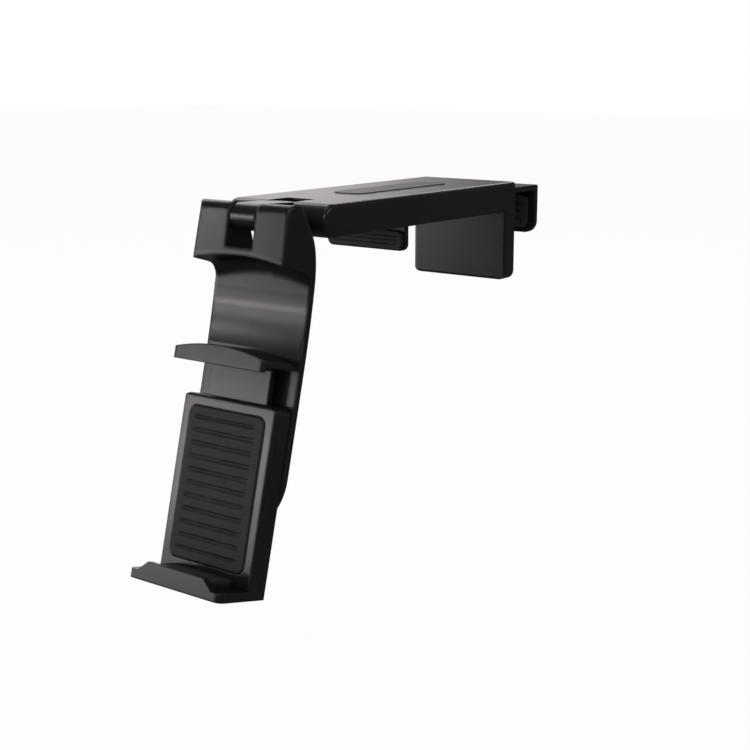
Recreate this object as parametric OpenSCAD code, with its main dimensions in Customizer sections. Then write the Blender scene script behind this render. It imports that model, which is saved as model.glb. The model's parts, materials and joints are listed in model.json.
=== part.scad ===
/* [Arm] */
// Width of the arm over its side flanges
arm_w = 45.4; // [43:0.2:60]
// Length of the arm from the front of its barrel to its far end
arm_len = 122.8; // [112:0.2:150]
// Thickness of the arm's top plate
arm_top_t = 2.5; // [2:0.1:4]
// Thickness of the arm's side flanges
flange_t = 2.2; // [1.6:0.1:3]
// Depth of the arm's side flanges from the top face
flange_h = 11.7; // [11:0.1:16]
// Radius of the rolled hinge barrels
barrel_r = 5.85; // [5:0.05:5.85]
// Rounding of the arm's long edges and of the barrel's rims
arm_edge_r = 1.4; // [0.6:0.1:2]
// Gap between the link's barrel and the arm plate behind it
notch_gap = 3.4; // [2:0.1:5]

/* [Top strip] */
// Length of the inlaid strip on top of the arm
strip_len = 60; // [30:1:70]
// Width of the inlaid strip
strip_w = 13.4; // [8:0.2:24]
// Distance from the arm's far end to the strip
strip_setback = 23.5; // [16:0.5:30]
// Height that the strip stands proud of the arm
strip_proud = 0.3; // [0.1:0.05:0.6]
// Depth of the pocket that the strip lies in
strip_pocket = 0.7; // [0.4:0.1:1.2]
// Corner radius of the strip
strip_r = 4.6; // [1:0.2:5]

/* [Stop plate] */
// Height of the stop plate from the arm's top face down
stop_drop = 39.6; // [30:0.2:50]
// Thickness of the stop plate
stop_t = 6.6; // [5:0.1:9]
// Radius of the stop plate's lower corners
stop_r = 3.6; // [1:0.1:6]
// Thickness of the rubber stop pad
stop_pad_t = 1.6; // [1:0.1:3]
// Height that the stop pad stands proud of its pocket
stop_pad_proud = 0.6; // [0.3:0.1:0.9]
// Margin of the plate left round the stop pad
stop_margin = 2.4; // [1.5:0.1:5]
// Rounding of the stop plate's front edges
stop_edge_r = 1; // [0.4:0.1:2]

/* [Hook slide] */
// Distance from each flange's inner face to the sliding tongue
slide_inset = 0.9; // [0.6:0.1:1.4]
// Thickness of the sliding tongue
slide_t = 2.2; // [1.6:0.1:3]
// Free play of the tongue in the arm
slide_play = 0.3; // [0.2:0.05:0.5]
// Thickness of panel held between the two pads as drawn
panel_gap = 19.3; // [15:0.1:24]
// Thickness of the rear lip
lip_t = 2.2; // [1.6:0.1:3]
// Depth of the rear lip below the tongue
lip_drop = 18; // [12:0.5:26]
// Thickness of the rubber hook pad
hook_pad_t = 1.2; // [0.8:0.1:2]
// Length of tongue kept inside the arm
tongue_in = 80.4; // [70:0.2:84]
// Width of the ledges that carry the tongue
ledge_w = 2.2; // [1.6:0.1:2.2]

/* [Finger grip] */
// Distance from each flange's inner face to the finger grip's leg
grip_inset = 2.15; // [2.15:0.05:5]
// Height of the leg below the tongue
grip_drop = 16.4; // [14:0.1:20]
// Thickness of the leg
grip_t = 2.2; // [1.8:0.1:3]
// Distance from the tongue's front end to the leg's front face
grip_back = 9.6; // [8:0.1:12]
// Thickness of the grip pad
grip_pad_t = 1.3; // [0.8:0.1:2]
// Height of the grip pad
grip_pad_h = 7.4; // [5:0.1:8]
// Radius of the guide rods
rod_r = 1.1; // [0.8:0.05:1.2]
// Distance between the two guide rods
rod_pitch = 27; // [22:0.5:28]

/* [Link] */
// Distance between the fold axis and the tilt axis
link_len = 17.35; // [16:0.05:22]
// Width of the link
link_w = 11.2; // [8:0.1:16]
// Rise of the tilt axis above the fold axis, in degrees
link_rise = 5.5; // [0:0.5:12]
// Radius of the hinge pins
pin_r = 1.5; // [1.2:0.05:1.8]
// Thickness of the friction washers
washer_t = 0.4; // [0.3:0.05:0.8]
// Radius of the washers at the fold axis
fold_washer_r = 4.4; // [3:0.1:4.8]
// Radius of the washers at the tilt axis
tilt_washer_r = 3.5; // [2.6:0.1:3.9]

/* [Bracket] */
// Width of the strap and of the back of the hood
strap_w = 44; // [40:0.5:50]
// How much narrower the hood's front face is than the strap, on each side
hood_inset = 1.3; // [0.5:0.1:3]
// Distance from the tilt axis to the hood's front and top
tilt_r = 4.7; // [4.4:0.05:5.2]
// Rounding of the hood's two top edges
hood_top_r = 3.3; // [2:0.1:4]
// Length of the flat between the hood's two top edges
hood_flat = 1; // [0.2:0.1:2]
// Slope of the hood's rear face from the vertical, in degrees
hood_slope = 37; // [32:1:42]
// Drop from the tilt axis to the lower corners of the hood
hood_drop = 16.2; // [14:0.1:20]
// Thickness of the strap
strap_t = 2.2; // [1.8:0.1:3]
// Distance from the tilt axis back to the strap's front face
strap_back = 11.35; // [10.5:0.05:13]
// Drop from the tilt axis to the swivel axis
swivel_drop = 86.7; // [80:0.1:100]
// Forward lean of the bracket as drawn, in degrees
head_lean = 14.4; // [0:0.2:25]

/* [Holder] */
// Width of the holder and its jaws
holder_w = 42.8; // [38:0.2:44]
// Height of the gap between the two jaws as drawn
phone_gap = 71.5; // [66:0.5:80]
// Distance from the back pad to the plane of the phone's screen
phone_depth = 7.85; // [7:0.05:9]
// Thickness of the holder from back pad to rear face
holder_t = 8.6; // [8.4:0.1:11]
// Height of the housing above the swivel axis
housing_up = 24; // [20:0.5:25]
// Thickness of the lower shelf
shelf_t = 3.1; // [2.4:0.1:4]
// Distance that the lower lip stands before the screen plane
lip_front = 6.2; // [5:0.1:8]
// Thickness of the lower lip
jaw_lip_t = 2.2; // [1.8:0.1:3]
// Height of the lower lip above the shelf floor
jaw_lip_h = 3.7; // [3:0.1:5]
// Length of the lower lip's straight top edge
jaw_lip_top = 25.8; // [18:0.2:30]
// Length of the lower lip where it leaves the shelf
jaw_lip_foot = 34.4; // [31:0.2:36]
// Height of the upper jaw at its ends above the phone
jaw_end_h = 3.2; // [3:0.1:6]
// Rise of the upper jaw's arch over its ends
jaw_arch = 3; // [1.5:0.1:4]
// Thickness of the upper jaw's rubber pad
jaw_pad_t = 1.2; // [0.8:0.1:2]
// Thickness of the lower jaw's rubber pad
lower_pad_t = 2.65; // [2:0.05:3.2]
// Rounding of the housing's front edges
cover_edge_r = 1.1; // [0.5:0.1:1.6]
// Radius of the swivel hub
hub_r = 8; // [6:0.1:10]

/* [Springs] */
// Wire radius of the slide springs
slide_wire_r = 0.3; // [0.25:0.01:0.32]
// Coil radius of the slide springs at the wire's centre
slide_coil_r = 1.75; // [1.7:0.01:1.8]
// Number of turns of a slide spring
slide_turns = 24; // [18:1:26]
// Wire radius of the jaw springs
jaw_wire_r = 0.3; // [0.25:0.01:0.35]
// Coil radius of the jaw springs at the wire's centre
jaw_coil_r = 1.8; // [1.7:0.01:1.85]
// Number of turns of a jaw spring
jaw_turns = 11; // [9:1:13]

/* [Hidden] */
$fn = 64;
shell_colour = "#2c2a2b";
rubber_colour = "#1b1b1d";
steel_colour = "silver";

// Clearances
fit_gap = 0.3;
run_gap = 0.05;
seam = 0.01;
link_gap = 0.25;

// Heights of the arm, measured from the tongue's underside
top_z = slide_t + slide_play + arm_top_t;
plate_under = slide_t + slide_play;
flange_z = top_z - flange_h;
ledge_z = -slide_play;
ledge_t = 1.5;

// Lengths along the arm, measured back from the stop pad's face
arm_end = -stop_pad_proud;
arm_front = arm_end - arm_len;
fold_y = arm_front + barrel_r;
fold_z = top_z - barrel_r;
stop_front = arm_end - stop_t;
pad_seat = -stop_pad_t;
stop_pad_w = arm_w - 2 * stop_margin;
stop_pad_h = stop_drop - top_z - 2 * stop_margin + ledge_z;
pad_fit = 0.1;
inner_w = arm_w - 2 * flange_t;
slide_w = inner_w - 2 * slide_inset;
window_w = link_w + 2 * (washer_t + 2 * run_gap);
notch_back = fold_y + barrel_r + notch_gap;
notch_wall = 4.3;
cavity_front = notch_back + notch_wall;
core_side = window_w / 2 + 2.2;
core_front = fold_y + pin_r + 1.5;
core_back = cavity_front - 2;

// The hook and the finger grip
lip_in = panel_gap + hook_pad_t;
lip_out = lip_in + lip_t;
lip_low = -lip_drop;
lip_corner_r = 5;
lip_fillet = 1.6;
tongue_front = -tongue_in;
leg_front = tongue_front + grip_back;
leg_back = leg_front + grip_t;
foot_t = 2.2;
foot_w = 30;
foot_len = 18;
grip_w = inner_w - 2 * grip_inset;
gusset_x = 6;
gusset_t = 1.6;
gusset_h = 9;
rod_z = flange_z + slide_coil_r + slide_wire_r + run_gap;
rib_back = tongue_front - 13.6;
rib_t = 3;
rib_top = -foot_t - fit_gap;
rod_end = rib_back - rib_t + 1;
grip_screw_x = 9;
grip_screw_y = tongue_front + 5;
grip_screw_r = 1.2;

// The tilt axis and the frame of the bracket and holder
tilt_y = fold_y - link_len * cos(link_rise);
tilt_z = fold_z + link_len * sin(link_rise);
link_r = barrel_r - link_gap;
tip_r = tilt_r - run_gap;
cap_r = 2.6;
cap_t = 1.2;
pin_end = arm_w / 2 - 3;
hood_w = strap_w - 2 * hood_inset;
tilt_pin_end = hood_w / 2 - 3;

// The hood, in the bracket's frame: Y back from the tilt axis, Z up
hood_front = -tilt_r;
hood_lean = 1.1;
hood_low = -24;
corner_z = tilt_r - hood_top_r;
rear_corner_y = hood_front + hood_top_r + hood_flat;
hood_arch = 2.3;
hood_edge_r = 1.8;
arch_half = hood_w / 2;
hood_arch_r = (arch_half * arch_half + hood_arch * hood_arch) / (2 * hood_arch);
scoop_r = 5;
strap_bow = 0.9;
bow_top = -23;
blend_low = -21;
bow_end = -50;
bow_span = bow_top - bow_end;
window_low = -11.2;

// The holder, in the bracket's frame with Z from the swivel axis
seat_y = strap_back - fit_gap - holder_t;
screen_y = seat_y - phone_depth;
holder_back_y = strap_back - fit_gap;
back_wall = 1.4;
front_wall = 2.2;
pad_proud = 0.5;
cover_y = seat_y + pad_proud;
pad_recess = 0.8;
cavity_y = cover_y + front_wall;
wall_y = holder_back_y - back_wall;
cavity_t = wall_y - cavity_y;
seat_w = 5.2;
side_wall = 1.8;
gap_half = phone_gap / 2;
floor_z = -gap_half - lower_pad_t;
shelf_z = floor_z - shelf_t;
lip_y = screen_y - lip_front;
jaw_lip_front_t = 1.2;
jaw_front = screen_y - jaw_lip_front_t;
jaw_rear = holder_back_y - 0.4;
jaw_rear_r = 3.6;
jaw_corner_r = 2.5;
block_z = gap_half + jaw_pad_t;
arch_hw = holder_w / 2 + 0.4;
jaw_arch_r = (arch_hw * arch_hw + jaw_arch * jaw_arch) / (2 * jaw_arch);
neck_w = 28;
neck_t = 2.4;
neck_y = (cavity_y + wall_y - neck_t) / 2;
neck_low = -12;
neck_slot_x = 7;
neck_slot_w = 3;
neck_slot_h = 26;
housing_r = 3;
back_pad_side = 4;
back_pad_low = 4.8;
back_pad_top = 4;
lower_pad_side = 7.2;
upper_pad_side = 3.6;
jaw_rib_pitch = 2.4;
spring_x = 9;
post_r = 1.25;
post_len = 2.4;
spring_y = neck_y + neck_t / 2;
spring_seat = floor_z + 4.4;
case_screw_x = holder_w / 2 - 3.6;
case_screw_in = 4.2;
case_screw_r = 1;
case_post_r = 2.4;
hub_end = strap_back + strap_t + 0.6;
swivel_cap_over = 3.5;
swivel_cap_r = hub_r + swivel_cap_over;
swivel_cap_t = 2;
swivel_cap_edge = 0.7;
screw_recess_r = 3.1;
screw_recess = 1.1;
swivel_screw_r = 1.5;

// Extrude an outline drawn as (Y, Z) across the width, centred on X
module across(w) {
    translate([-w / 2, 0, 0]) rotate([90, 0, 90]) linear_extrude(w) children();
}

// Extrude an outline drawn as (X, Z) from one Y to another
module along(y0, y1) {
    translate([0, y1, 0]) rotate([90, 0, 0]) linear_extrude(y1 - y0) children();
}

// Rectangle with rounded corners, centred on X, from z0 up
module rounded_rect(w, h, r) {
    translate([-w / 2, r]) square([w, h - 2 * r]);
    translate([-w / 2 + r, 0]) square([w - 2 * r, h]);
    for (x = [-w / 2 + r, w / 2 - r], z = [r, h - r]) translate([x, z]) circle(r);
}

// Rectangle whose two upper corners are rounded
module top_rounded(w, h, r) {
    translate([-w / 2, 0]) square([w, h - r]);
    translate([-w / 2 + r, 0]) square([w - 2 * r, h]);
    for (x = [-w / 2 + r, w / 2 - r]) translate([x, h - r]) circle(r);
}

// Rectangle whose two lower corners are rounded, hanging down from Z = 0
module low_rounded(w, h, r) {
    mirror([0, 1]) top_rounded(w, h, r);
}

// Straight rod along X between two places
module rod_x(x0, x1, r) {
    translate([x0, 0, 0]) rotate([0, 90, 0]) cylinder(h = x1 - x0, r = r);
}

// Straight rod along Y between two places
module rod_y(y0, y1, r) {
    translate([0, y0, 0]) rotate([-90, 0, 0]) cylinder(h = y1 - y0, r = r);
}

// Frame of the link, at the fold axis and turned to its rise
module in_link() {
    translate([0, fold_y, fold_z]) rotate([-link_rise, 0, 0]) children();
}

// Frame of the bracket, at the tilt axis and leaned forward
module in_head() {
    translate([0, tilt_y, tilt_z]) rotate([-head_lean, 0, 0]) children();
}

// Frame of the holder, with Z from the swivel axis
module in_holder() {
    in_head() translate([0, 0, -swivel_drop]) children();
}

// Point of a coil of n turns between two heights, at turn t
function coil_at(r, h, n, t) = [r * cos(360 * t), r * sin(360 * t), h * t / n];

// Coil spring along Z from 0 to h, one ring of wire points every 1/8 turn
module coil(h, r, wire, n) {
    steps = 8;
    sides = 5;
    rings = n * steps;
    points = [for (i = [0 : rings], k = [0 : sides - 1])
        let (t = i / steps, a = 360 * k / sides, reach = r + wire * cos(a))
        coil_at(reach, h - 2 * wire, n, t) + [0, 0, wire + wire * sin(a)]];
    skin = [for (i = [0 : rings - 1], k = [0 : sides - 1])
        let (j = (k + 1) % sides, a = i * sides)
        each [[a + sides + j, a + j, a + k], [a + sides + k, a + sides + j, a + k]]];
    near = [for (k = [0 : sides - 1]) k];
    far = [for (k = [sides - 1 : -1 : 0]) rings * sides + k];
    polyhedron(points = points, faces = concat(skin, [near, far]));
}

// Barrel about the X axis with rounded rims at both ends
module barrel(w, r, rim) {
    rotate([0, 90, 0]) rotate_extrude() {
        translate([0, -w / 2]) square([r - rim, w]);
        translate([0, -w / 2 + rim]) square([r, w - 2 * rim]);
        for (y = [-w / 2 + rim, w / 2 - rim]) translate([r - rim, y]) circle(rim);
    }
}

// Plan outline of a plate from front to back, with rounded front corners
module plate_plan(w, front, back, r) {
    translate([-w / 2, front + r]) square([w, back - front - r]);
    translate([-w / 2 + r, front]) square([w - 2 * r, back - front]);
    for (x = [-w / 2 + r, w / 2 - r]) translate([x, front + r]) circle(r);
}

// Stop plate at the far end of the arm: rounded lower corners and rolled front edges
module stop_plate() {
    low = top_z - stop_drop;
    intersection() {
        along(stop_front, arm_end) translate([0, top_z - 1]) low_rounded(arm_w, stop_drop - 1, stop_r);
        translate([0, 0, low - 1]) linear_extrude(stop_drop)
            plate_plan(arm_w, stop_front, arm_end, stop_edge_r);
        across(arm_w + 2) {
            translate([stop_front + stop_edge_r, low]) square([stop_t, stop_drop]);
            translate([stop_front, low + stop_edge_r]) square([stop_t, stop_drop]);
            translate([stop_front + stop_edge_r, low + stop_edge_r]) circle(stop_edge_r);
        }
    }
}

module arm_shell() {
    translate([0, fold_y, fold_z]) barrel(arm_w, barrel_r, arm_edge_r);
    along(fold_y, arm_end) translate([0, flange_z]) rounded_rect(arm_w, flange_h, arm_edge_r);
    stop_plate();
}

// Open inside of the channel under the top plate
module arm_cavity() {
    translate([-inner_w / 2, cavity_front, ledge_z])
        cube([inner_w, stop_front - cavity_front, plate_under - ledge_z]);
    translate([-inner_w / 2, cavity_front, flange_z - 1])
        cube([inner_w, stop_front - cavity_front, ledge_z - ledge_t - flange_z + 1]);
    translate([-inner_w / 2 + ledge_w, cavity_front, ledge_z - ledge_t - 1])
        cube([inner_w - 2 * ledge_w, stop_front - cavity_front, ledge_t + 2]);
}

// Cross rib that takes the front ends of the guide rods
module cross_rib() {
    translate([-inner_w / 2, rib_back - rib_t, flange_z + 0.3])
        cube([inner_w, rib_t, rib_top - flange_z - 0.3]);
}

module arm_channel() {
    color(shell_colour)
    difference() {
        union() {
            difference() {
                arm_shell();
                arm_cavity();
            }
            cross_rib();
        }
        // notch for the link
        translate([-window_w / 2, arm_front - 1, flange_z - 1])
            cube([window_w, notch_back - arm_front + 1, flange_h + 2]);
        // mouth for the tongue
        translate([-slide_w / 2 - slide_play, stop_front - 1, ledge_z])
            cube([slide_w + 2 * slide_play, stop_t + 2, plate_under - ledge_z]);
        // pocket of the top strip
        translate([0, arm_end - strip_setback - strip_len, top_z - strip_pocket])
            linear_extrude(strip_pocket + 1)
                rounded_rect(strip_w + 0.5, strip_len, strip_r + 0.2);
        // pocket of the stop pad
        along(pad_seat, 1)
            translate([0, ledge_z - stop_margin])
                low_rounded(stop_pad_w, stop_pad_h, stop_r - 1);
        // fold pin and its cap
        translate([0, fold_y, fold_z]) rod_x(-arm_w, pin_end, pin_r);
        translate([0, fold_y, fold_z]) rod_x(-arm_w, -arm_w / 2 + cap_t, cap_r);
        // coring pockets in the block behind the fold pin
        for (s = [0, 1]) mirror([s, 0, 0])
            translate([core_side, core_front, flange_z - 1])
                cube([inner_w / 2 - core_side, core_back - core_front, flange_h + 1 - arm_top_t]);
        // guide rod holes through the stop plate and into the rib
        for (x = [-rod_pitch / 2, rod_pitch / 2]) translate([x, 0, rod_z]) rod_y(rod_end, 1, rod_r);
    }
}

module top_strip() {
    color(rubber_colour)
    translate([0, arm_end - strip_setback - strip_len + 0.25, top_z - strip_pocket])
        linear_extrude(strip_pocket + strip_proud)
            rounded_rect(strip_w, strip_len - 0.5, strip_r);
}

module stop_pad() {
    pad_w = stop_pad_w - 2 * pad_fit;
    pad_h = stop_pad_h - 2 * pad_fit;
    groove_pitch = 4;
    color(rubber_colour)
    difference() {
        along(pad_seat, 0)
            translate([0, ledge_z - stop_margin - pad_fit]) low_rounded(pad_w, pad_h, stop_r - 1);
        for (i = [1 : floor(pad_h / groove_pitch) - 1])
            translate([-pad_w / 2 + 3, -0.4, ledge_z - stop_margin - i * groove_pitch - 1])
                cube([pad_w - 6, 1, 1]);
    }
}

module guide_rods() {
    color(steel_colour)
    for (x = [-rod_pitch / 2, rod_pitch / 2]) translate([x, 0, rod_z]) rod_y(rod_end, pad_seat, rod_r);
}

module fold_pin() {
    color(steel_colour)
    translate([0, fold_y, fold_z]) rod_x(-arm_w / 2 + cap_t, pin_end, pin_r);
}

module fold_pin_cap() {
    color(shell_colour)
    translate([0, fold_y, fold_z]) rod_x(-arm_w / 2, -arm_w / 2 + cap_t, cap_r);
}

// Side outline of the tongue with its lip turned down behind
module hook_side() {
    lip_edge_r = 0.9;
    translate([tongue_front, 0]) square([lip_out - lip_edge_r - tongue_front, slide_t]);
    translate([lip_in, lip_low]) square([lip_t, slide_t - lip_edge_r - lip_low]);
    translate([lip_out - lip_edge_r, slide_t - lip_edge_r]) circle(lip_edge_r);
    difference() {
        translate([lip_in - lip_fillet, -lip_fillet]) square([lip_fillet + 0.1, lip_fillet + 0.1]);
        translate([lip_in - lip_fillet, -lip_fillet]) circle(lip_fillet);
    }
}

module hook_slide() {
    slot_len = 34;
    slot_w = 5;
    slot_x = 10;
    slot_from = tongue_front + 22;
    color(shell_colour)
    difference() {
        intersection() {
            across(slide_w) hook_side();
            union() {
                translate([-slide_w / 2, tongue_front, -1])
                    cube([slide_w, lip_in - tongue_front, slide_t + 2]);
                along(lip_in - lip_fillet - 1, lip_out + 1)
                    translate([0, slide_t]) low_rounded(slide_w, lip_drop + slide_t, lip_corner_r);
            }
        }
        // lightening slots in the hidden stretch of the tongue
        for (x = [-slot_x, slot_x])
            translate([x - slot_w / 2, slot_from, -1]) cube([slot_w, slot_len, slide_t + 2]);
        for (x = [-grip_screw_x, grip_screw_x])
            translate([x, grip_screw_y, -1]) cylinder(h = slide_t + 0.4, r = grip_screw_r);
    }
}

module hook_pad() {
    pad_w = slide_w - 6;
    pad_h = lip_drop - lip_fillet - 2.4;
    color(rubber_colour)
    difference() {
        along(panel_gap, lip_in) translate([0, -lip_fillet - 0.4]) low_rounded(pad_w, pad_h, 3);
        for (i = [1 : 3])
            translate([-pad_w / 2 + 3, panel_gap - 0.6, -lip_fillet - 0.4 - i * pad_h / 4 - 0.5])
                cube([pad_w - 6, 1, 1]);
    }
}

module finger_grip() {
    leg_r = 2.6;
    gusset_len = foot_len - grip_back - grip_t;
    color(shell_colour)
    difference() {
        union() {
            translate([-foot_w / 2, tongue_front, -foot_t]) cube([foot_w, foot_len, foot_t]);
            along(leg_front, leg_back) {
                translate([-foot_w / 2, -foot_w / 4]) square([foot_w, foot_w / 4]);
                translate([0, ledge_z - ledge_t - fit_gap])
                    low_rounded(grip_w, grip_drop + ledge_z - ledge_t - fit_gap, leg_r);
            }
            // gussets behind the leg
            for (x = [-gusset_x, gusset_x])
                translate([x, leg_back, 0]) mirror([0, 0, 1]) across(gusset_t)
                    polygon([[-0.5, 0], [gusset_len, 0], [gusset_len, foot_t], [0, gusset_h],
                        [-0.5, gusset_h]]);
        }
        for (x = [-rod_pitch / 2, rod_pitch / 2])
            translate([x, 0, rod_z]) rod_y(leg_front - 1, leg_back + 1, rod_r + run_gap);
        for (x = [-grip_screw_x, grip_screw_x]) {
            translate([x, grip_screw_y, -foot_t - 1]) cylinder(h = foot_t + 2, r = grip_screw_r);
            translate([x, grip_screw_y, -foot_t - 1]) cylinder(h = 2, r = 2 * grip_screw_r);
        }
    }
}

module grip_pad() {
    pad_w = grip_w - 1.6;
    pad_low = -grip_drop + 0.3;
    color(rubber_colour)
    difference() {
        translate([0, 0, pad_low]) along(leg_front - grip_pad_t, leg_front)
            rounded_rect(pad_w, grip_pad_h, 2.2);
        for (i = [1 : 4])
            translate([-pad_w / 2 + 4, leg_front - grip_pad_t - 0.6, pad_low + i * grip_pad_h / 5 - 0.3])
                cube([pad_w - 8, 1, 0.6]);
    }
}

module grip_screws() {
    color(steel_colour)
    for (x = [-grip_screw_x, grip_screw_x]) translate([x, grip_screw_y, 0]) {
        translate([0, 0, -foot_t + 0.2]) difference() {
            cylinder(h = 0.8, r = 2 * grip_screw_r);
            translate([-0.3, -1.6, -0.1]) cube([0.6, 3.2, 0.5]);
        }
        translate([0, 0, -foot_t + 0.9]) cylinder(h = foot_t + slide_t - 1.6, r = grip_screw_r);
    }
}

module slide_springs() {
    spring_len = stop_front - leg_back;
    color(steel_colour)
    for (x = [-rod_pitch / 2, rod_pitch / 2])
        translate([x, leg_back, rod_z]) rotate([-90, 0, 0])
            coil(spring_len, slide_coil_r, slide_wire_r, slide_turns);
}

// Side outline of the link: two barrels of different size and their common tangents
module link_side() {
    lean = acos((link_r - tip_r) / link_len);
    normal = [-cos(lean), sin(lean)];
    tip = [-link_len, 0];
    circle(link_r);
    translate(tip) circle(tip_r);
    big = (link_r - seam) * normal;
    small = (tip_r - seam) * normal;
    polygon([big, tip + small, tip + [small[0], -small[1]], [big[0], -big[1]]]);
}

module link() {
    side_wall = 1.6;
    web = 2;
    color(shell_colour)
    in_link() difference() {
        across(link_w) link_side();
        for (y = [0, -link_len]) translate([0, y, 0]) rod_x(-link_w, link_w, pin_r + run_gap);
        // coring pocket between the two pins, open below
        translate([-link_w / 2 + side_wall, -link_len + pin_r + web, -link_r - 1])
            cube([link_w - 2 * side_wall, link_len - 2 * (pin_r + web), link_r + 1]);
    }
}

module washer_pair(r) {
    for (s = [-1, 1]) translate([s * (link_w / 2 + run_gap + washer_t / 2), 0, 0]) difference() {
        rod_x(-washer_t / 2, washer_t / 2, r);
        rod_x(-washer_t, washer_t, pin_r + run_gap);
    }
}

module fold_washers() {
    color(steel_colour) in_link() washer_pair(fold_washer_r);
}

module tilt_washers() {
    color(steel_colour) in_link() translate([0, -link_len, 0]) washer_pair(tilt_washer_r);
}

// Point of a smooth bend between two places, drawn towards a third
function bend(a, c, b, t) = (1 - t) * (1 - t) * a + 2 * t * (1 - t) * c + t * t * b;

// Set-back of the strap's faces at a height, where they bow towards the hood
function bow(z) = z < bow_end ? 0 : strap_bow * pow((z - bow_end) / bow_span, 2);

// Side outline of the hood: two rounded top edges, a sloping rear face and a bend that runs into the strap
module hood_side() {
    down = [sin(hood_slope), -cos(hood_slope)];
    crown = [rear_corner_y, corner_z] + (hood_top_r - seam) * [cos(hood_slope), sin(hood_slope)];
    strap_slope = 2 * strap_bow * (blend_low - bow_end) / (bow_span * bow_span);
    blend_to = [strap_back + strap_t - bow(blend_low), blend_low];
    offset_y = blend_to[0] - crown[0] - strap_slope * (crown[1] - blend_low);
    reach = offset_y / (down[0] + strap_slope * down[1]);
    knee = crown + reach * down;
    blend_from = (crown + knee) / 2;
    for (y = [hood_front + hood_top_r, rear_corner_y]) translate([y, corner_z]) circle(hood_top_r);
    polygon(concat(
        [[hood_front + seam, corner_z], [hood_front + hood_lean, hood_low],
            [strap_back - strap_bow + 0.5, hood_low]],
        [for (i = [0 : 12]) bend(blend_to, knee, blend_from, i / 12)],
        [crown, [rear_corner_y, corner_z], [rear_corner_y, tilt_r - seam],
            [hood_front + hood_top_r, tilt_r - seam], [hood_front + hood_top_r, corner_z]]));
}

// Side outline of the strap: a slight bow below the hood, then straight
module strap_side() {
    steps = 14;
    end_z = -swivel_drop - strap_w / 2;
    rise = (blend_low - bow_end) / steps;
    front = [for (i = [0 : steps]) let (z = bow_end + rise * i) [strap_back - min(bow(z), strap_bow), z]];
    rear = [for (i = [steps : -1 : 0]) let (z = bow_end + rise * i) [strap_back + strap_t - bow(z), z]];
    polygon(concat([[strap_back, end_z]], front, rear, [[strap_back + strap_t, end_z]]));
}

// Plan outline of the hood, wider at the back, with rounded front corners
module hood_plan() {
    f = hood_front - 0.01;
    back = 20;
    hw = hood_w / 2;
    r = hood_edge_r;
    polygon([[-hw + r, f], [hw - r, f], [hw, f + r], [strap_w / 2, strap_back - 2], [strap_w / 2, back],
        [-strap_w / 2, back], [-strap_w / 2, strap_back - 2], [-hw, f + r]]);
    for (x = [-hw + r, hw - r]) translate([x, f + r]) circle(r);
}

// Scoop that cuts the arched underside of the hood and blends into the strap
module scoop() {
    depth = strap_back - strap_bow;
    translate([0, 0, -hood_drop + hood_arch - hood_arch_r])
        rotate([-90, 0, 0]) translate([0, 0, hood_front - 5]) rotate_extrude($fn = 180) {
            square([hood_arch_r, depth - hood_front + 5 - scoop_r]);
            square([hood_arch_r - scoop_r, depth - hood_front + 5]);
            translate([hood_arch_r - scoop_r, depth - hood_front + 5 - scoop_r]) circle(scoop_r);
        }
}

module bracket() {
    end_r = strap_w / 2;
    color(shell_colour)
    in_head() difference() {
        union() {
            difference() {
                intersection() {
                    across(strap_w) hood_side();
                    translate([0, 0, -60]) linear_extrude(80) hood_plan();
                }
                scoop();
            }
            intersection() {
                across(strap_w) strap_side();
                along(strap_back - 3, strap_back + strap_t + 1) union() {
                    translate([0, -swivel_drop]) circle(end_r);
                    translate([-end_r, -swivel_drop]) square([strap_w, swivel_drop]);
                }
            }
        }
        // window for the link, open at the front, top and back
        translate([-window_w / 2, hood_front - 1, window_low]) cube([window_w, 30, 30]);
        // tilt pin and its cap
        rod_x(-strap_w, tilt_pin_end, pin_r);
        translate([-hood_w / 2 + cap_t - 20, 0, 0]) rod_x(0, 20, cap_r);
        // swivel bore
        translate([0, 0, -swivel_drop]) rod_y(strap_back - 3, strap_back + strap_t + 1, hub_r + run_gap);
    }
}

module tilt_pin() {
    color(steel_colour) in_head() rod_x(-hood_w / 2 + cap_t, tilt_pin_end, pin_r);
}

module tilt_pin_cap() {
    color(shell_colour) in_head() rod_x(-hood_w / 2, -hood_w / 2 + cap_t, cap_r);
}

// Front outline of the lower lip: the shelf's full width, then chamfered to a shorter top edge
module lip_outline() {
    hw = holder_w / 2;
    translate([-hw, shelf_z]) square([holder_w, shelf_t]);
    for (s = [0, 1]) mirror([s, 0])
        polygon([[-0.1, shelf_z], [jaw_lip_foot / 2, shelf_z], [jaw_lip_foot / 2, floor_z],
            [jaw_lip_top / 2, floor_z + jaw_lip_h], [-0.1, floor_z + jaw_lip_h]]);
}

module lower_shelf() {
    fillet = 1.4;
    inner = lip_y + jaw_lip_t;
    intersection() {
        translate([0, 0, shelf_z - 1]) linear_extrude(40)
            plate_plan(holder_w, lip_y, holder_back_y, jaw_corner_r);
        union() {
            translate([-holder_w / 2, lip_y, shelf_z]) cube([holder_w, holder_back_y - lip_y, shelf_t]);
            along(lip_y, inner) lip_outline();
            across(jaw_lip_top) difference() {
                translate([inner - 0.1, floor_z - 0.1]) square([fillet + 0.1, fillet + 0.1]);
                translate([inner + fillet, floor_z + fillet]) circle(fillet);
            }
        }
    }
}

module case_screw_places() {
    for (x = [-case_screw_x, case_screw_x], z = [floor_z + case_screw_in, housing_up - case_screw_in])
        translate([x, 0, z]) children();
}

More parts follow.
